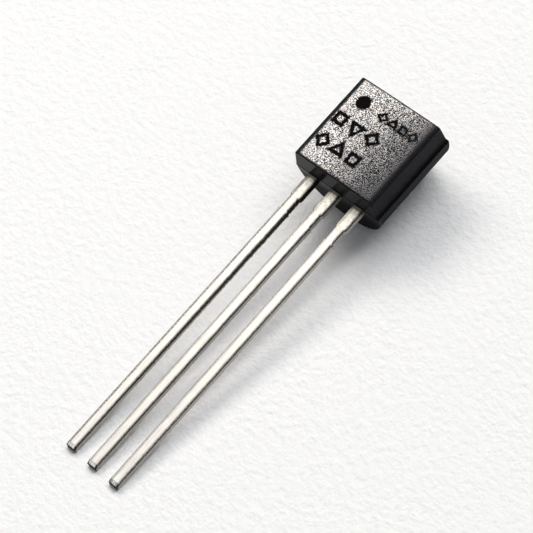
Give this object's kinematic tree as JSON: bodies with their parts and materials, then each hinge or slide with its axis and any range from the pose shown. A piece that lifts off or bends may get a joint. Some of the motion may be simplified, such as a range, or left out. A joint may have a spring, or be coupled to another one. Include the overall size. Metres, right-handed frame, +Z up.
{
  "type": "moulded transistor with three leads",
  "caption": "Small plastic-cased transistor with a flat front, a rounded back and a row of straight tinned leads, for soldering through a circuit board.",
  "frame": {"origin": "on the surface it lies on, below the middle of its bounding box", "axes": "+Z up, with the flat face up; +X across the leads, from the emitter lead to the collector lead; the leads point to -Y and 7.5 degrees down, and the case is at +Y"},
  "size_m": [0.0046, 0.02, 0.0041],
  "materials": {
    "epoxy": "black filled epoxy; spark-eroded grain on the flat face, satin on the sides and back",
    "tinned_lead": "dull bright tin over a copper alloy strip",
    "silicon": "polished silicon with metal bond areas",
    "solder": "dull grey solder",
    "gold_wire": "bright drawn gold"
  },
  "bodies": {
    "root": {"case": "epoxy", "emitter_lead": "tinned_lead", "base_lead": "tinned_lead", "collector_lead": "tinned_lead", "die": "silicon", "die_solder": "solder", "base_wire": "gold_wire", "emitter_wire": "gold_wire"}
  },
  "joints": []
}
